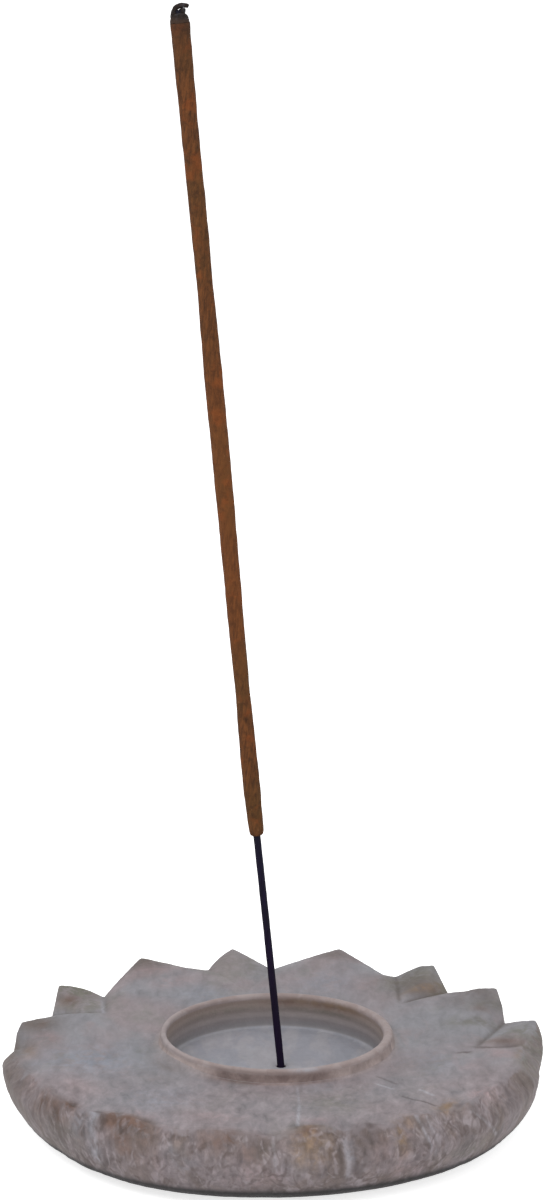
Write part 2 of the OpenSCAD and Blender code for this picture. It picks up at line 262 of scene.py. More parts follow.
def rim_columns():
    """Directions of the mesh's columns, with one on every key of the rim, and the rim's
    radius, height and lean there. Between keys the edge is straight in plan, or bulges."""
    first = RIM[0]
    keys = RIM + [(first[0] + 360,) + first[1:]]
    parts = []
    for (a0, r0, z0, lean0, bulge), (a1, r1, z1, lean1, _) in zip(keys, keys[1:]):
        n = INNER_STEP * max(1, round(COLUMNS * (a1 - a0) / 360 / INNER_STEP))
        t = np.arange(n) / n
        th = np.radians(a0 + t * (a1 - a0))
        p, q = polar(a0, r0), polar(a1, r1)
        cross = p[0] * q[1] - p[1] * q[0]
        line = cross / (np.cos(th) * (q[1] - p[1]) - np.sin(th) * (q[0] - p[0]))
        edge = line + bulge * np.sin(math.pi * t)
        parts.append([th, edge, z0 + t * (z1 - z0), lean0 + t * (lean1 - lean0)])
    return [np.concatenate(column) for column in zip(*parts)]


def brim_at(r):
    t = np.clip((r - RING_R) / (RIM_R - RING_R), 0, BRIM_REACH)
    return BRIM_Z + (RIM_Z - BRIM_Z) * t ** BRIM_CURVE


def wall_radius(z, theta, rim_r, rim_h, lean):
    """The turned form, cut back by the sloping face below each stretch of the rim."""
    spread_r = BELLY_R - FOOT_R
    arc_r = (spread_r ** 2 + BELLY_Z ** 2) / (2 * spread_r)
    below = np.minimum(z - BELLY_Z, 0)
    turned = BELLY_R - arc_r + np.sqrt(np.clip(arc_r ** 2 - below ** 2, 0, None))
    turned = turned + BEAD * np.exp(-((z - BEAD_Z) / BEAD_HALF) ** 2)
    upper = np.clip((z - SWELL_LOW) / (SWELL_HIGH - SWELL_LOW), 0, 1)
    turned = turned + swell(UPPER_SWELL, theta) * upper
    turned = turned + swell(LOWER_SWELL, theta) * (1 - upper) * np.clip(z, 0, 1)
    face = rim_r + np.clip(rim_h - z, -0.5, None) * np.tan(np.radians(lean))
    return smooth_min(turned, face, FACE_CREASE)


def groove_surfaces(x, y):
    """Height of the carved petals at (x, y), and how near each point is to the bottom of a
    groove, from 0 to 1."""
    low, near = np.full(x.shape, 99.0), np.zeros(x.shape)
    for apex, tip, before, after, clear in CARVED:
        start, start_z = polar(*apex), brim_at(apex[1]) + 0.05
        peak = polar(*tip[:2]) - start
        flanks = []
        for end, hand in ((before, 1), (after, -1)):
            run = polar(*end[:2]) - start
            length = np.hypot(*run)
            run = run / length
            across = np.array([-run[1], run[0]]) * hand
            fall = (end[2] - start_z) / length
            along = (x - start[0]) * run[0] + (y - start[1]) * run[1]
            off = (x - start[0]) * across[0] + (y - start[1]) * across[1]
            gentle = (tip[2] - start_z - fall * (peak @ run)) / (peak @ across)
            distance = np.sqrt(off ** 2 + FLANK_ROUND ** 2) - FLANK_ROUND
            shown = clear * np.clip(along / GROOVE_START, 0, 1) * min(1, (brim_at(end[1]) - end[2]) / 2)
            cut = GROOVE_DEPTH * shown * np.exp(-(off / GROOVE_HALF) ** 2)
            flanks.append(start_z + fall * along + np.where(off > 0, gentle, FLANK_RISE) * distance - cut)
            # How near each point is to a groove's bottom, where painted shade darkens the top
            near = np.maximum(near, shown * np.exp(-(off / SHADE_HALF) ** 2))
        low = smooth_min(low, smooth_min(*flanks, RIDGE_CREASE), PETAL_CREASE)
    return low, near


def top_surface(r, theta):
    """Height of the top, and how near each point is to the bottom of a groove."""
    carved, near = groove_surfaces(r * np.cos(theta), r * np.sin(theta))
    return smooth_min(brim_at(r), carved, BRIM_CREASE), near


def spaced(lengths):
    """From 0 to 1 in steps in proportion to the lengths given."""
    s = np.concatenate([[0], np.cumsum(lengths)])
    return s / s[-1]


class Rows:
    """Rows of points with a zone, and three values that the material uses."""

    def __init__(self):
        self.points, self.zones, self.values, self.sizes = [], [], [], []

    def add(self, x, y, z, zone, groove=0.0, fillet=0.0, down=0.0):
        x, y, z, groove, fillet, down = np.broadcast_arrays(x, y, z, groove, fillet, down)
        self.points.append(np.stack([x, y, z], 1))
        self.values.append(np.stack([groove, fillet, down], 1))
        self.zones.append(np.full(len(x), ZONES.index(zone)))
        self.sizes.append(len(x))

    def circle(self, th, cx, cy, r, z, zone):
        self.add(cx + r * np.cos(th), cy + r * np.sin(th), z, zone)


def flare(theta):
    """How many times larger than elsewhere the fillet at the ring's foot is."""
    return 1 + FLARE * np.exp(-(round_from(theta, FLARE_AT) / FLARE_SPAN) ** 2)


def inner_rows(rows, th):
    """The hole, floor, cup, lip and ring, from the bottom of the hole outwards."""
    for t in HOLE_STEPS:
        deep = HOLE_BEVEL + (HOLE_DEPTH - HOLE_BEVEL) * t
        rows.circle(th, HOLE[0] + deep * math.tan(LEAN), HOLE[1], HOLE_R, FLOOR_Z - deep, "hole")
    bevel = 0.4 * HOLE_BEVEL
    rows.circle(th, *HOLE, HOLE_R + bevel, FLOOR_Z - bevel, "hole")
    mouth, edge = HOLE_R + HOLE_BEVEL, CUP_R - CUP_ROUND
    for t in spaced([1] * FLOOR_ROWS)[:-1]:
        x = HOLE[0] + (CUP_X - HOLE[0]) * t
        rows.circle(th, x, HOLE[1] * (1 - t), mouth + (edge - mouth) * t, FLOOR_Z, "floor")
    for a in np.linspace(0, math.pi / 2, FILLET_ROWS):
        z = FLOOR_Z + CUP_ROUND * (1 - math.cos(a))
        rows.circle(th, CUP_X, 0, edge + CUP_ROUND * math.sin(a), z, "cup")
    low, high = FLOOR_Z + CUP_ROUND, RING_Z - LIP
    tilt = LIP_RISE - LIP_TILT * np.sin(th)
    for t in spaced([1] * CUP_ROWS)[1:-1]:
        turning = 0.05 * math.sin(t * 17) + 0.04 * math.sin(t * 41)
        rows.circle(th, CUP_X, 0, CUP_R + turning, low + (high + tilt - low) * t, "cup")
    outside = RING_R - LIP_INSET
    middle, half = (outside + CUP_R) / 2, (outside - CUP_R) / 2
    for t in spaced([1] * LIP_ROWS):
        a = math.pi * (1 - t)
        rise = high + tilt + LIP * math.sin(a) ** LIP_FULLNESS
        rows.circle(th, CUP_X + (RING_X - CUP_X) * t, 0, middle + half * math.cos(a), rise, "lip")
    base = BRIM_Z + RING_FILLET * flare(th)
    for t in RING_STEPS:
        r = RING_R - RING_BATTER * t - RING_BULGE * math.sin(3 * t)
        rows.circle(th, RING_X, 0, r, base + (high + tilt - base) * t, "ring")


def outer_rows(rows, theta, rim_r, rim_h, lean):
    """The brim with its carved petals, which droops to the rim's own height at the edge,
    and the wall down to the foot."""
    droop = rim_h - top_surface(rim_r, theta)[0]
    wider = flare(theta)
    for s in spaced(TOP_STEPS):
        r = RING_R + (rim_r - RING_R) * s
        z, groove = top_surface(r, theta)
        fillet = np.exp(-(r - RING_R) / FILLET_WIDTH / np.sqrt(wider))
        z = z + droop * np.exp(-((rim_r - r) / DROOP_WIDTH) ** 2) + RING_FILLET * wider * fillet
        x, y = r * np.cos(theta) + RING_X * (1 - s), r * np.sin(theta)
        rows.add(x, y, z, "top", groove, fillet, r - rim_r)
    miss = rim_r - wall_radius(rim_h, theta, rim_r, rim_h, lean)
    for s in spaced(WALL_STEPS)[1:]:
        z = rim_h * (1 - s)
        r = wall_radius(z, theta, rim_r, rim_h, lean) + miss * np.exp(z - rim_h)
        rows.add(r * np.cos(theta), r * np.sin(theta), z, "wall", down=rim_h - z)


def off_line(u, v, a, b):
    """Distance of points (u, v) from the stretch between a and b."""
    run = np.subtract(b, a)
    t = np.clip(((u - a[0]) * run[0] + (v - a[1]) * run[1]) / (run @ run), 0, 1)
    return np.hypot(u - a[0] - t * run[0], v - a[1] - t * run[1])


def round_from(theta, angle):
    """Difference of direction from an angle, in degrees from -180 to 180."""
    return (np.degrees(theta) - angle + 180) % 360 - 180


def paint(co, zone, down):
    """How much of each tint every point has, and the depth of the saw cuts there."""
    theta, r, z = np.arctan2(co[:, 1], co[:, 0]), np.hypot(co[:, 0], co[:, 1]), co[:, 2]
    wall, top = zone == ZONES.index("wall"), zone == ZONES.index("top")
    tints = {name: np.zeros(len(co)) for name in TINT_COLOURS}
    cut_depth = np.zeros(len(co))

    def lift(name, values):
        tints[name] = np.maximum(tints[name], values)

    per_degree = math.radians(1) * BELLY_R
    over = np.where(top, np.exp(-(np.minimum(down, 0) / OVER_ARRIS) ** 2), wall)
    inside = (zone == ZONES.index("cup")) | (zone == ZONES.index("lip"))
    tables = ((over, z, WALL_PATCHES), (top, r, TOP_PATCHES), (inside, z, CUP_PATCHES))
    for where, height, patches in tables:
        for name, spots in patches.items():
            for angle, level, wide, tall, strength in spots:
                across = round_from(theta, angle) * math.radians(1) * r
                spot = strength * np.exp(-(across / wide) ** 2 - ((height - level) / tall) ** 2)
                lift(name, spot * where)
    for top_angle, top_z, low_angle, low_z, width, depth, pale in CUTS:
        u = round_from(theta, top_angle) * per_degree
        d = off_line(u, z, (0, top_z), ((low_angle - top_angle) * per_degree, low_z))
        near = np.exp(-(d / width) ** 2) * wall
        cut_depth += depth * near
        lift("pale", pale * near)
        right = np.clip((u - (low_angle - top_angle) * per_degree * 0.5) / width, 0, 1)
        edges = np.exp(-((d - EDGE_AT * width) / (EDGE_HALF * width)) ** 2)
        edges = edges * (LEFT_EDGE + (1 - LEFT_EDGE) * right)
        lift("dark", EDGE_DARK * pale * edges * wall)
    for a0, r0, a1, r1, width, name, strength in TOP_LINES:
        d = off_line(co[:, 0], co[:, 1], polar(a0, r0), polar(a1, r1))
        line = strength * np.exp(-(d / width) ** 2) * top
        lift(name, line)
        cut_depth += LINE_DEPTH * line * (name == "dark")
    return tints, cut_depth


def soften(grid, first, last, passes=2):
    """Rounds the arrises of a grid of points that closes sideways, between two rows."""
    for _ in range(passes):
        mean = (grid[:-2] + grid[2:] + np.roll(grid, 1, 1)[1:-1] + np.roll(grid, -1, 1)[1:-1]) / 4
        step = np.zeros(len(grid))
        step[first:last] = 0.5
        grid = grid.copy()
        grid[1:-1] += (mean - grid[1:-1]) * step[1:-1, None, None]
    return grid


def lumps(points, depth, size, seed):
    return depth * rumple(points, size, seed, 2)


def wear(co, zone, values, cut_depth):
    """Lays lumps, chisel facets, turning marks and the saw cuts on the dish."""
    r = np.hypot(co[:, 0], co[:, 1])
    outward = np.stack([co[:, 0], co[:, 1], np.zeros(len(r))], 1) / (r[:, None] + 1e-6)
    wall, top = zone == ZONES.index("wall"), zone == ZONES.index("top")
    points = co[wall]
    # The wall's lumps fade out at its arris and foot, and the brim's at the ring
    ease = np.clip(values[wall, 2] * 0.8, 0, 1) * np.clip(points[:, 2] / 2, 0, 1)
    bumps = lumps(points, *WALL_LUMPS) + lumps(points * FACET_STRETCH, *FACETS)
    co[wall] += outward[wall] * (bumps * ease - cut_depth[wall])[:, None]
    points = co[top] * np.array([1, 1, 0])
    away = np.clip((r[top] - RING_R - 0.5) / 4, 0, 1)
    waves = lumps(points, *BRIM_WAVES) + lumps(points, *BRIM_GRAIN)
    marks = TURNING * np.sin(r[top] * 5.1 + 0.6 * np.sin(r[top] * 0.9))
    co[top, 2] += (waves + marks) * away - cut_depth[top]
    for name, lump in TURNED_LUMPS.items():
        here = zone == ZONES.index(name)
        co[here] += outward[here] * lumps(co[here], *lump)[:, None]
    # The floor stays flat round the mouth of the hole
    here = zone == ZONES.index("floor")
    far = np.hypot(co[here, 0] - HOLE[0], co[here, 1] - HOLE[1])
    co[here, 2] += lumps(co[here], *FLOOR_LUMPS) * np.clip((far - 2) / 3, 0, 1)
    return co


def stitch(sizes):
    """Faces between the rows, from the hole's bottom outwards and down to the foot."""
    starts = np.concatenate([[0], np.cumsum(sizes)])
    faces = [list(range(sizes[0]))]
    for row, (few, many) in enumerate(zip(sizes, sizes[1:])):
        a, b = starts[row], starts[row + 1]
        k = min(few, many)
        i = np.arange(k)
        j = (i + 1) % k
        if few == many:
            faces += np.stack([a + i, b + i, b + j, a + j], 1).tolist()
            continue
        step = max(few, many) // k
        fans = (step * i[:, None] + np.arange(step + 1)) % max(few, many)
        if few < many:
            faces += np.concatenate([(a + i)[:, None], b + fans, (a + j)[:, None]], 1).tolist()
        else:
            faces += np.concatenate([(b + j)[:, None], (a + fans)[:, ::-1], (b + i)[:, None]], 1).tolist()
    faces.append((starts[-2] + np.arange(sizes[-1]))[::-1].tolist())
    return faces


def add_object(name, data):
    obj = bpy.data.objects.new(name, data)
    bpy.context.scene.collection.objects.link(obj)
    return obj


def new_object(name, co, faces):
    mesh = bpy.data.meshes.new(name)
    mesh.from_pydata((co * MM).tolist(), [], faces)
    mesh.validate()
    mesh.update()
    mesh.shade_smooth()
    return add_object(name, mesh)


def set_attribute(obj, name, values):
    data = obj.data.attributes.new(name, "FLOAT", "POINT").data
    data.foreach_set("value", np.asarray(values, np.float32))


def build_dish():
    theta, rim_r, rim_h, lean = rim_columns()
    rows = Rows()
    inner_rows(rows, theta[::INNER_STEP])
    first = len(rows.sizes)
    outer_rows(rows, theta, rim_r, rim_h, lean)
    last = len(rows.sizes)
    for r in FOOT_RADII:
        rows.circle(theta[::INNER_STEP], 0, 0, r, 0.0, "foot")
    start, end = sum(rows.sizes[:first]), sum(rows.sizes[:last])
    co, zone, values = (np.concatenate(a) for a in (rows.points, rows.zones, rows.values))
    grid = co[start:end].reshape(last - first, len(theta), 3)
    co[start:end] = soften(grid, SHARP_ROWS, last - first - 2).reshape(-1, 3)
    tints, cut_depth = paint(co, zone, values[:, 2])
    co = wear(co, zone, values, cut_depth)
    obj = new_object("carved_dish", co, stitch(rows.sizes))
    for name, column in zip(("groove", "fillet", "down"), values.T):
        set_attribute(obj, name, column)
    for name, much in tints.items():
        set_attribute(obj, name, much)
    for i, name in enumerate(ZONES):
        set_attribute(obj, "zone_" + name, zone == i)
    return obj


# Stick, as in the CAD source
CORE_R, STICK_LENGTH, BARE_LENGTH = 0.7, 203.1, 51.8
BURNT_HEIGHT, WICK_HEIGHT = 1.7, 0.5
COAT_LENGTH = STICK_LENGTH - BARE_LENGTH - BURNT_HEIGHT - WICK_HEIGHT
# Coating: (height above its lower end, radius), and the share of it that the end has
COAT_RADII = ((0, 1.25), (1.5, 1.38), (8, 1.57), (18, 1.52), (27, 1.35), (36, 1.42), (50, 1.53),
              (66, 1.64), (86, 1.66), (95, 1.57), (103, 1.44), (112, 1.56), (130, 1.55), (139, 1.64),
              (COAT_LENGTH, 1.76))
COAT_END = ((0, 0.62), (0.05, 0.78), (0.2, 0.9), (0.45, 0.97), (0.8, 1.0))
BURNT_R = 1.7
# Roughness of each part: points round it, depth, wavelength and seed of its lumps
CORE_ROUGH, COAT_ROUGH = (24, 0.03, 1.1, 11), (40, 0.08, 1.4, 12)
BURNT_ROUGH, WICK_ROUGH = (40, 0.16, 0.9, 13), (20, 0.14, 0.7, 15)
# The strand of ash: points round it, relative depth of its lumps, their seed
CURL_SIDES, CURL_LUMP, CURL_SEED = 16, 0.18, 14
# Height of the coating's upper end above the foot of the dish
COAT_TOP = 203.1
SIDE = np.array([math.cos(LEAN), 0, math.sin(LEAN)])
UP = np.array([-math.sin(LEAN), 0, math.cos(LEAN)])
AWAY = np.array([0.0, 1.0, 0.0])
# Turn that lays a pattern along the stick
ALONG = (0, -math.degrees(LEAN), 0)
FOOT = np.array([HOLE[0], HOLE[1], FLOOR_Z]) - (HOLE_DEPTH - SEAT_GAP) * UP
# How far the stick is bowed to the side: (height along it, amount)
BOW = ((0, 0), (8, 0), (35, -0.14), (60, -0.38), (80, -0.33), (100, -0.24), (115, -0.07),
       (130, -0.06), (150, 0.02), (165, 0.09), (182, 0.05), (200, 0.16), (215, 0.16))
# The strand of ash: (to the side, up) from the foot of the burnt end, then its thickness
CURL = ((-1.0, 0.4), (-0.98, 1.3), (-0.84, 2.0), (-0.5, 2.6), (0.0, 2.95), (0.55, 3.05), (1.1, 2.98),
        (1.6, 2.8), (1.85, 2.65))
CURL_RADII = ((0, 0.62), (0.3, 0.5), (0.7, 0.42), (0.93, 0.36), (1, 0.2))
# The charred head of the core: (height, radius)
WICK = ((0.4, 0.66), (0.9, 0.68), (1.4, 0.7), (1.8, 0.68), (2.15, 0.62), (2.4, 0.5), (2.55, 0.28))


def stick_axis(heights):
    """Points on the bowed axis at heights along the stick."""
    fine = np.arange(-20, 230)
    bow = np.interp(heights, fine, spread(from_table(BOW, fine), 7))
    return FOOT + np.outer(heights, UP) + np.outer(bow, SIDE)


def tube(name, rings):
    """A mesh through rings of points, closed at both ends by a middle point."""
    k = len(rings[0])
    co = np.concatenate(list(rings) + [rings[0].mean(0)[None], rings[-1].mean(0)[None]])
    i = np.arange(k)
    j = (i + 1) % k
    faces = []
    for a in range(0, k * (len(rings) - 1), k):
        faces += np.stack([a + i, a + j, a + k + j, a + k + i], 1).tolist()
    top, low, high = k * (len(rings) - 1), len(co) - 2, len(co) - 1
    faces += np.stack([np.full(k, low), j, i], 1).tolist()
    faces += np.stack([np.full(k, high), top + i, top + j], 1).tolist()
    return new_object(name, co, faces)


def stick_rings(heights, radii, sides, lump, wave, seed):
    """Rings round the bowed axis, with noise of depth lump and wavelength wave."""
    a = np.arange(sides) * 2 * math.pi / sides
    out = np.outer(np.cos(a), SIDE) + np.outer(np.sin(a), AWAY)
    rings = []
    for centre, r, h in zip(stick_axis(heights), radii, heights):
        probe = np.stack([np.cos(a) * r, np.sin(a) * r, np.full(sides, h * 0.45)], 1)
        rings.append(centre + out * (r + lump * rumple(probe, wave, seed, 3))[:, None])
    return rings


def build_core():
    bare = np.arange(1.0, BARE_LENGTH + 2, 0.8)
    heights = np.concatenate([[0, 0.15], bare, [BARE_LENGTH + 20, STICK_LENGTH - 2, STICK_LENGTH]])
    radii = np.full(len(heights), CORE_R - 0.02)
    radii[0] = CORE_R - 0.12
    return tube("bamboo_splint", stick_rings(heights, radii, *CORE_ROUGH))


def build_coating():
    body = np.arange(1.6, COAT_LENGTH - 0.2, 0.5)
    u = np.concatenate([[0, 0.05, 0.2, 0.45, 0.8, 1.2], body, [COAT_LENGTH]])
    radii = from_table(COAT_RADII, u) * from_table(COAT_END, u)
    return tube("incense_paste", stick_rings(u + BARE_LENGTH, radii, *COAT_ROUGH))


def build_burnt():
    t = np.linspace(0, 1, 14)
    heights = BARE_LENGTH + COAT_LENGTH + BURNT_HEIGHT * np.sin(t * math.pi / 2)
    radii = BURNT_R * (0.25 + 0.75 * np.cos(t * math.pi / 2) ** 0.7)
    return tube("charred_end", stick_rings(heights, radii, *BURNT_ROUGH))


def build_curl():
    """The strand of ash that leaves the burnt end's left side and bends over its top."""
    base = stick_axis([BARE_LENGTH + COAT_LENGTH])[0]
    t = np.linspace(0, 1, 40)
    at = t * (len(CURL) - 1)
    x, z = (spread(np.interp(at, np.arange(len(CURL)), line), 2) for line in zip(*CURL))
    run = np.stack([np.gradient(x), np.gradient(z)], 1)
    run /= np.hypot(*run.T)[:, None]
    a = np.arange(CURL_SIDES) * 2 * math.pi / CURL_SIDES
    rings = []
    for i, r in enumerate(from_table(CURL_RADII, t)):
        normal = run[i, 1] * SIDE - run[i, 0] * UP
        probe = np.stack([np.cos(a), np.sin(a), np.full(CURL_SIDES, i * 0.25)], 1)
        r = r * (1 + CURL_LUMP * rumple(probe, 1.0, CURL_SEED, 2))
        middle = base + x[i] * SIDE + z[i] * UP
        rings.append(middle + np.outer(np.cos(a) * r, normal) + np.outer(np.sin(a) * r, AWAY))
    return tube("ash_curl", rings)


def build_wick():
    """The charred head of the core, which leans a little out of the burnt end."""
    heights, radii = (np.array(column) for column in zip(*WICK))
    rings = stick_rings(heights + BARE_LENGTH + COAT_LENGTH, radii, *WICK_ROUGH)
    return tube("charred_wick", [r + SIDE * 0.4 * max(0, h - 0.6) for r, h in zip(rings, heights)])


class Nodes:
    """A node tree, with short calls that add nodes to it."""

    def __init__(self, tree):
        self.tree = tree

    def add(self, kind, **values):
        node = self.tree.nodes.new("ShaderNode" + kind)
        for key, value in values.items():
            setattr(node, key, value)
        return node

    def put(self, socket, value):
        if isinstance(value, bpy.types.NodeSocket):
            self.tree.links.new(value, socket)
        else:
            socket.default_value = value

    def feed(self, node, values):
        for key, value in values.items():
            self.put(node.inputs[key], value)

    def place(self, scale=(1, 1, 1), turn=(0, 0, 0)):
        """Object coordinates in millimetres, turned and then stretched by scale."""
        vector = self.add("TexCoord").outputs["Object"]
        if any(turn):
            spin = self.add("Mapping")
            self.feed(spin, {"Vector": vector, "Rotation": [math.radians(a) for a in turn]})
            vector = spin.outputs["Vector"]
        mapping = self.add("Mapping")
        self.feed(mapping, {"Vector": vector, "Scale": [s / MM for s in scale]})
        return mapping.outputs["Vector"]

    def noise(self, vector, size, detail=4, rough=0.55, distort=0.0, shift=0.0):
        """Noise from 0 to 1 whose features are about size millimetres."""
        node = self.add("TexNoise", noise_dimensions="4D")
        self.feed(node, {"Vector": vector, "W": shift, "Scale": 1 / size, "Detail": detail,
                         "Roughness": rough, "Distortion": distort})
        return node.outputs["Fac"]

    def ramp(self, value, low, high, top=1.0, bottom=0.0):
        """Smooth step of a value from low to high."""
        node = self.add("MapRange", interpolation_type="SMOOTHSTEP", clamp=True)
        self.feed(node, {"Value": value, "From Min": low, "From Max": high,
                         "To Min": bottom, "To Max": top})
        return node.outputs["Result"]

    def math(self, how, a, b=0.0):
        node = self.add("Math", operation=how)
        self.feed(node, {0: a, 1: b})
        return node.outputs[0]

    def times(self, *values):
        product = values[0]
        for value in values[1:]:
            product = self.math("MULTIPLY", product, value)
        return product

    def mix(self, fac, a, b, how="MIX"):
        node = self.add("Mix", data_type="RGBA", blend_type=how)
        self.feed(node, {"Factor": fac, 6: a, 7: b})
        return node.outputs[2]

    def lay(self, colour, *layers):
        """The colour under layers, each given as its strength and its colour on screen."""
        for fac, tint in layers:
            colour = self.mix(fac, colour, rgb(*tint))
        return colour

    def contrast(self, colour, noise, amount):
        """The colour made lighter and darker by a noise round 0.5."""
        sway = self.math("MULTIPLY_ADD", self.math("SUBTRACT", noise, 0.5), amount)
        self.put(sway.node.inputs[2], 1.0)
        return self.mix(1.0, colour, sway, "MULTIPLY")

    def vector_math(self, how, vector, other):
        node = self.add("VectorMath", operation=how)
        self.feed(node, {0: vector, 1: other})
        return node.outputs["Value"]

    def dot(self, vector, way):
        return self.vector_math("DOT_PRODUCT", vector, way)

    def height(self, vector):
        return self.dot(vector, (0, 0, 1))

    def attribute(self, name):
        return self.add("Attribute", attribute_name=name).outputs["Fac"]

    def bump(self, height, distance, strength, normal=None):
        node = self.add("Bump")
        self.feed(node, {"Strength": strength, "Distance": distance * MM, "Height": height})
        if normal is not None:
            self.put(node.inputs["Normal"], normal)
        return node.outputs["Normal"]


class Material(Nodes):
    def __init__(self, name, specular):
        self.material = bpy.data.materials.new(name)
        self.material.use_nodes = True
        super().__init__(self.material.node_tree)
        self.shader = self.tree.nodes["Principled BSDF"]
        self.put(self.shader.inputs["Specular IOR Level"], specular)

    def finish(self, colour, rough, normal):
        self.feed(self.shader, {"Base Color": colour, "Roughness": rough, "Normal": normal})
        return self.material


def rgb(r, g, b):
    """A colour given as it shows on screen, 0 to 255."""
    return tuple(c / 12.92 if c <= 0.04045 else ((c + 0.055) / 1.055) ** 2.4
                 for c in (r / 255, g / 255, b / 255)) + (1.0,)


# Direction of the part of the ring whose outside is brown
BROWN_AT = math.radians(267)
# Strokes of the chisel: turn of the noise, its shift, colour and strength
STROKES = ((0, 31, (160, 150, 154), 0.42), (28, 32, (156, 147, 150), 0.36),
           (-24, 33, (78, 66, 63), 0.45), (8, 34, (82, 70, 66), 0.4))


class Stone(Material):
    """The soapstone, with the values that several of its layers of colour use."""

    def __init__(self):
        super().__init__("soapstone", 0.3)
        self.p, self.upright, self.lying = self.place(), self.place((1, 1, 0.4)), self.place((1, 0.45, 1))
        for zone in ("top", "cup", "floor", "ring", "lip"):
            setattr(self, zone, self.attribute("zone_" + zone))
        self.z = self.height(self.p)
        self.front = self.ramp(self.dot(self.p, (0, -1, 0)), 8, 30, 0.6)
        self.sides = self.math("ABSOLUTE", self.dot(self.p, (1, 0, 0)))
        self.cloud = self.noise(self.p, 3.4, 4, 0.6, 0.5, shift=4)
        self.blotch = self.noise(self.upright, 2.4, 3, 0.55, 0.8, shift=21)
        self.spots = self.noise(self.lying, 1.9, 3, 0.6, 0.4, shift=22)
        self.fine = self.noise(self.p, 1.4, 4, 0.55, 0.3, shift=5)
        self.rasp = self.noise(self.upright, 0.9, 3, 0.55, 0.5, shift=20)
        # The wall's colours begin a little below the arris, in a ragged line
        sway = self.times(self.math("SUBTRACT", self.blotch, 0.5), 5)
        start = self.ramp(self.math("ADD", self.attribute("down"), sway), -0.1, 0.9)
        self.wall = self.times(self.attribute("zone_wall"), start)


def ground_colour(n):
    """Grey-lilac with pinkish and greenish clouds, and browner on the wall."""
    large = n.ramp(n.noise(n.p, 20, 3, 0.5, 0.4), 0.38, 0.62)
    colour = n.lay(
        n.mix(large, rgb(130, 129, 134), rgb(135, 126, 129)),
        (n.ramp(n.noise(n.p, 12, 4, 0.55, 0.8, shift=3), 0.5, 0.72, 0.5), (121, 121, 116)),
        (n.ramp(n.noise(n.lying, 4.5, 4, 0.6, 0.5, shift=23), 0.52, 0.68, 0.45), (142, 130, 132)),
        (n.times(n.front, n.ramp(n.spots, 0.3, 0.6, 1.0, 0.5)), (130, 121, 124)))
    violet = n.ramp(n.noise(n.upright, 6, 4, 0.6, 0.6, shift=11), 0.4, 0.6)
    walled = n.mix(violet, rgb(105, 93, 89), rgb(125, 115, 117))
    walled = n.lay(walled, (n.ramp(n.blotch, 0.54, 0.64, 0.5), (92, 80, 76)))
    return n.mix(n.times(n.wall, 0.88), colour, walled)


def ring_colour(n, colour):
    """The ring's outside is reddish brown in front, and elsewhere as pale as its lip."""
    forward = n.dot(n.p, (math.cos(BROWN_AT), math.sin(BROWN_AT), 0))
    brown_front = n.ramp(forward, 17.6, 20.6)
    brown = n.mix(n.ramp(n.cloud, 0.4, 0.6), rgb(100, 82, 77), rgb(124, 107, 102))
    # Painted light in front: the brown is darker towards the ring's base and lighter towards its lip, for
    # the light that falls off over the rounded ring
    shaded_brown = n.mix(n.ramp(n.z, BRIM_Z + 1.0, RING_Z + 0.2, 0.7), brown, rgb(140, 124, 119))
    ringed = n.mix(brown_front, rgb(158, 143, 139), shaded_brown)
    radius = n.vector_math("DISTANCE", n.place((1, 1, 0)), (RING_X, 0, 0))
    # The fillet at the ring's foot takes the ring's colour, with its painted shade in front
    foot = n.times(n.attribute("fillet"), n.math("ADD", n.times(brown_front, 0.45), 0.45))
    colour = n.mix(n.math("MAXIMUM", n.times(n.ring, 0.85), n.times(n.top, foot)), colour, ringed)
    lipped = n.mix(n.ramp(n.cloud, 0.4, 0.6), rgb(147, 132, 129), rgb(159, 146, 144))
    lipped = n.mix(n.times(n.ramp(radius, 21.0, 22.0), brown_front), lipped, shaded_brown)
    return n.mix(n.times(n.lip, 0.85), colour, lipped)


def cup_colour(n, colour, floor):
    """The cup's wall is browner towards its lip, with painted shade at its foot where it meets the floor;
    its floor is paler.
    """
    cupped = n.mix(n.ramp(n.z, FLOOR_Z + 0.5, RING_Z), rgb(136, 131, 133), rgb(138, 122, 113))
    # Painted shade in the corner where the cup's wall meets its floor
    low = n.ramp(n.z, FLOOR_Z + 1.8, FLOOR_Z + 0.7, 0.5)
    cupped = n.mix(low, cupped, rgb(112, 113, 116))
    colour = n.mix(n.times(n.cup, 0.9), colour, cupped)
    clouds = n.ramp(n.noise(n.lying, 5, 4, 0.6, 0.5, shift=24), 0.42, 0.6)
    return n.mix(n.times(floor, 0.8), colour, n.mix(clouds, rgb(142, 144, 153), rgb(154, 153, 159)))


def patch_colours(n, colour):
    """Patches laid one by one from their lists, broken up by noise."""
    ragged = n.ramp(n.noise(n.p, 2.0, 4, 0.65, 0.5, shift=12), 0.36, 0.58, 1.1, 0.25)
    broken = {
        "pale": n.ramp(n.rasp, 0.3, 0.5, 1.0, 0.35),
        "dark": n.ramp(n.fine, 0.25, 0.5, 1.0, 0.5),
        "umber": n.ramp(n.blotch, 0.3, 0.5, 1.0, 0.6),
        "rust": n.ramp(n.fine, 0.3, 0.5, 1.0, 0.45),
    }
    for name, tint in TINT_COLOURS.items():
        much = n.times(n.attribute(name), broken.get(name, ragged))
        colour = n.lay(colour, (n.math("MINIMUM", much, 0.95), tint))
    return colour


def hollow_shade_colour(n, colour):
    """Painted shade: the grooves between the petals, the wall towards its foot and the inside of the hole
    are darkened.
    """
    inside = n.ramp(n.z, FLOOR_Z - 0.1, FLOOR_Z - 0.6, 0.9)
    return n.lay(
        colour,
        (n.times(n.top, n.attribute("groove"), 0.75), (70, 62, 55)),
        (n.times(n.wall, n.ramp(n.z, 5.0, 3.4, 0.4)), (86, 80, 82)),
        (n.times(n.attribute("zone_hole"), inside), (42, 38, 42)))


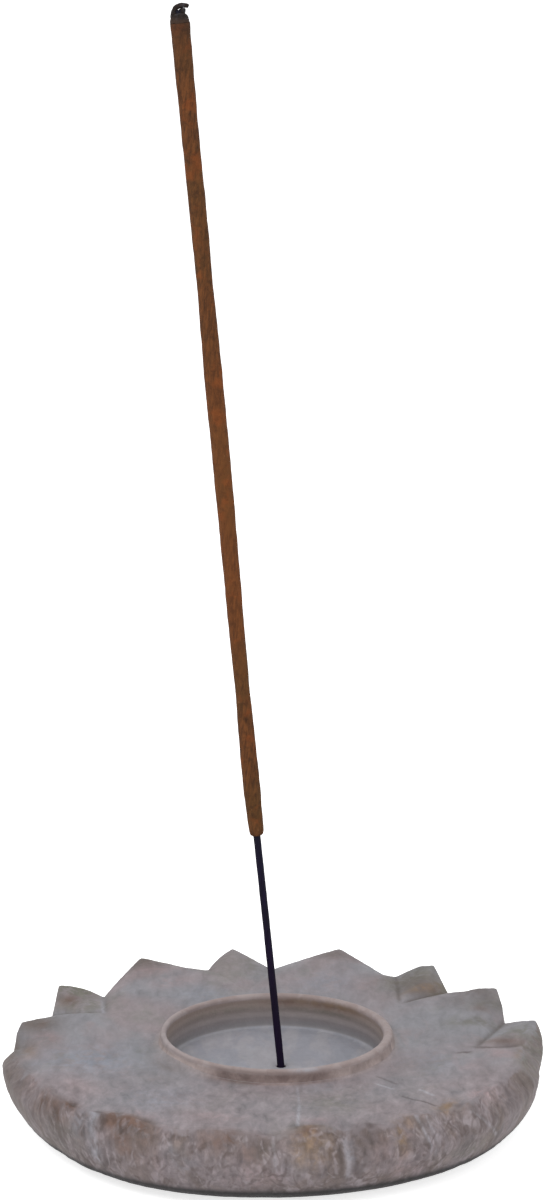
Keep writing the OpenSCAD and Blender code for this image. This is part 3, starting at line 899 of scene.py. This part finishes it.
def mottle(n, colour, floor):
    """Mottling, strongest on the wall, whose carved face was left rough, except at the sides."""
    rough_wall = n.times(n.wall, n.ramp(n.sides, 50, 40, 1.0, 0.55))
    rough_face = n.math("ADD", rough_wall, n.times(n.ring, 0.5))
    brim = n.times(n.top, n.math("ADD", n.times(n.front, 1.1), 0.8))
    colour = n.contrast(colour, n.blotch, n.times(rough_face, 1.7))
    colour = n.contrast(colour, n.spots, n.math("ADD", brim, n.times(floor, 0.4)))
    colour = n.contrast(colour, n.fine, n.math("ADD", n.times(rough_face, 0.95), 0.22))
    return n.contrast(colour, n.rasp, n.times(rough_wall, 0.45))


def stroke_colours(n, colour):
    """Pale and dark strokes that the chisel left on the wall."""
    stroked = n.times(n.wall, n.ramp(n.cloud, 0.44, 0.58), n.ramp(n.sides, 46, 36, 1.0, 0.25))
    for turn, shift, tone, much in STROKES:
        field = n.noise(n.place((1, 1, 0.42), (0, turn, 0)), 3.2, 2, 0.45, 0.3, shift=shift)
        line = n.ramp(n.math("ABSOLUTE", n.math("SUBTRACT", field, 0.5)), 0.055, 0.01)
        colour = n.lay(colour, (n.times(line, stroked, much), tone))
    return colour


def soapstone():
    n = Stone()
    # The floor's colour goes on over the fillet at its edge
    over = n.times(n.cup, n.ramp(n.z, FLOOR_Z + 0.5, FLOOR_Z + 0.15))
    floor = n.math("ADD", n.floor, over)
    colour = ring_colour(n, ground_colour(n))
    colour = cup_colour(n, colour, floor)
    colour = hollow_shade_colour(n, patch_colours(n, colour))
    colour = stroke_colours(n, mottle(n, colour, floor))
    # Painted shade on the wall above the foot, where it curls in towards the floor; darkest from about 1
    # to 3 mm up
    contact_shade = n.times(n.wall, n.ramp(n.z, 4.2, 3.0, 0.95), n.ramp(n.z, 0.2, 1.2, 1.0, 0.4))
    colour = n.lay(colour, (contact_shade, (20, 18, 20)))
    rough = n.math("ADD", n.times(n.fine, 0.22), 0.55)
    normal = n.bump(n.fine, 0.25, 0.4)
    normal = n.bump(n.rasp, 0.16, n.math("ADD", n.times(n.wall, 0.8), 0.1), normal)
    return n.finish(colour, rough, normal)


def paste():
    n = Material("incense_paste", 0.2)
    p = n.place()
    z = n.height(p)
    crumbs = n.noise(p, 1.3, 5, 0.65, shift=1)
    fibre = n.noise(n.place((1, 1, 0.16), ALONG), 0.42, 5, 0.7, 0.3, shift=2)
    chip = n.noise(n.place((1, 1, 0.35), ALONG), 0.6, 3, 0.6, shift=4)
    middle = n.math("ABSOLUTE", n.math("SUBTRACT", z, 115))
    # Browner and redder clouds, the middle redder, the upper end singed, and chips
    colour = n.lay(
        n.mix(n.ramp(fibre, 0.3, 0.7), rgb(62, 38, 22), rgb(112, 68, 36)),
        (n.ramp(n.noise(p, 14, 3, 0.5, shift=3), 0.4, 0.65, 0.5), (84, 60, 32)),
        (n.ramp(n.noise(p, 3.5, 3, 0.6, shift=5), 0.52, 0.68, 0.5), (130, 68, 30)),
        (n.ramp(crumbs, 0.5, 0.7, 0.7), (56, 36, 24)),
        (n.ramp(middle, 45, 10, 0.25), (126, 70, 32)),
        (n.ramp(z, COAT_TOP - 14, COAT_TOP - 2, 0.35), (66, 44, 27)),
        (n.ramp(z, COAT_TOP - 3, COAT_TOP, 0.5), (48, 34, 27)),
        (n.ramp(chip, 0.68, 0.76, 0.7), (141, 104, 70)),
        (n.ramp(chip, 0.3, 0.22, 0.7), (46, 29, 20)))
    normal = n.bump(fibre, 0.12, 0.8, n.bump(crumbs, 0.25, 0.8))
    return n.finish(colour, n.math("ADD", n.times(crumbs, 0.2), 0.78), normal)


def bamboo():
    n = Material("dyed_bamboo", 0.1)
    p = n.place()
    z = n.height(p)
    grain = n.noise(n.place((1, 1, 0.05), ALONG), 0.22, 5, 0.7, shift=1)
    colour = n.lay(
        n.mix(n.ramp(grain, 0.3, 0.7), rgb(8, 6, 18), rgb(27, 20, 46)),
        (n.times(n.ramp(z, 44, 26), 0.5), (28, 12, 40)),
        (n.ramp(z, 50, 60, 0.5), (16, 19, 22)),
        (n.ramp(n.noise(p, 9, 3, 0.5, shift=2), 0.45, 0.65, 0.4), (18, 17, 26)))
    return n.finish(colour, n.math("ADD", n.times(grain, 0.25), 0.5), n.bump(grain, 0.06, 0.6))


def char():
    n = Material("char", 0.2)
    p = n.place()
    crumb = n.noise(p, 0.5, 5, 0.7, shift=1)
    charring = n.math("ADD", n.height(p), n.times(n.math("SUBTRACT", crumb, 0.5), 2))
    colour = n.lay(
        n.mix(n.ramp(crumb, 0.35, 0.7), rgb(18, 14, 13), rgb(48, 37, 33)),
        (n.ramp(n.noise(p, 1.1, 4, 0.6, shift=2), 0.52, 0.7, 0.6), (68, 67, 72)),
        (n.ramp(charring, COAT_TOP + 1.3, COAT_TOP + 0.2), (62, 46, 37)))
    return n.finish(colour, n.math("ADD", n.times(crumb, 0.2), 0.75), n.bump(crumb, 0.2, 0.8))


def dress(obj, material, body, node):
    obj.data.materials.append(material)
    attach(obj, body)
    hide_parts(node)


# Camera fitted to the photograph: place in metres, degrees below the horizon, lens in mm
CAMERA_PLACE, CAMERA_PITCH, CAMERA_LENS = (-0.0002, -0.65749, 0.25622), 13.45, 111.51
# Floor: half its size in metres, millimetres below the foot, colour, and how much it shines
# for rays that should meet a plain white background
FLOOR_SIZE, FLOOR_DROP, FLOOR_COLOUR, FLOOR_SHINE = 3.0, 0.05, (0.92, 0.92, 0.92, 1), 0.7
# The world as a lamp, and as the background that is seen
WORLD_LIGHT, WORLD_SEEN = 0.68, 1.0
# Lamps: name, place, target and size in metres, power
LAMPS = (
    ("key", (-0.35, -0.35, 0.75), (0, 0, 0.03), 0.8, 3.4),
    ("fill", (0.55, -0.55, 0.45), (0, 0, 0.05), 0.8, 1.4),
)


def build_camera():
    data = bpy.data.cameras.new("camera")
    data.sensor_width = 36
    data.lens = CAMERA_LENS
    data.clip_start, data.clip_end = 0.01, 20
    cam = add_object("camera", data)
    cam.location = CAMERA_PLACE
    cam.rotation_euler = (math.radians(90 - CAMERA_PITCH), 0, 0)
    bpy.context.scene.camera = cam


def camera_sees(n):
    """1 for rays that should meet a plain white background, else 0."""
    path = n.add("LightPath")
    seen = n.math("MAXIMUM", path.outputs["Is Camera Ray"], path.outputs["Is Glossy Ray"])
    return n.math("MAXIMUM", seen, path.outputs["Is Transmission Ray"])


def build_floor():
    mesh = bpy.data.meshes.new("floor")
    corners = [(x * FLOOR_SIZE, y * FLOOR_SIZE, 0) for x, y in ((-1, -1), (1, -1), (1, 1), (-1, 1))]
    mesh.from_pydata(corners, [], [(0, 1, 2, 3)])
    floor = add_object("floor", mesh)
    floor.location.z = -FLOOR_DROP * MM
    n = Material("floor", 0.0)
    shine = n.times(camera_sees(n), FLOOR_SHINE)
    n.feed(n.shader, {"Base Color": FLOOR_COLOUR, "Roughness": 0.9, "Emission Color": (1, 1, 1, 1),
                      "Emission Strength": shine})
    mesh.materials.append(n.material)


def build_light():
    world = bpy.data.worlds.new("world")
    bpy.context.scene.world = world
    world.use_nodes = True
    n = Nodes(world.node_tree)
    strength = n.add("Mix", data_type="FLOAT")
    n.feed(strength, {"Factor": camera_sees(n), 2: WORLD_LIGHT, 3: WORLD_SEEN})
    n.feed(n.tree.nodes["Background"], {"Color": (1, 1, 1, 1), "Strength": strength.outputs[0]})
    for name, place, target, size, power in LAMPS:
        data = bpy.data.lights.new(name, "AREA")
        data.shape = "DISK"
        data.size = size
        data.energy = power
        lamp = add_object(name, data)
        lamp.location = place
        lamp.rotation_euler = (Vector(target) - Vector(place)).to_track_quat("-Z", "Y").to_euler()


bpy.context.scene.view_settings.view_transform = "Standard"
build_camera()
build_floor()
build_light()
stone, brown, violet, black = soapstone(), paste(), bamboo(), char()
dress(build_dish(), stone, "dish", "stone_dish")
dress(build_core(), violet, "stick", "bamboo_core")
dress(build_coating(), brown, "stick", "incense_coating")
for build in (build_burnt, build_curl, build_wick):
    dress(build(), black, "stick", "burnt_tip")
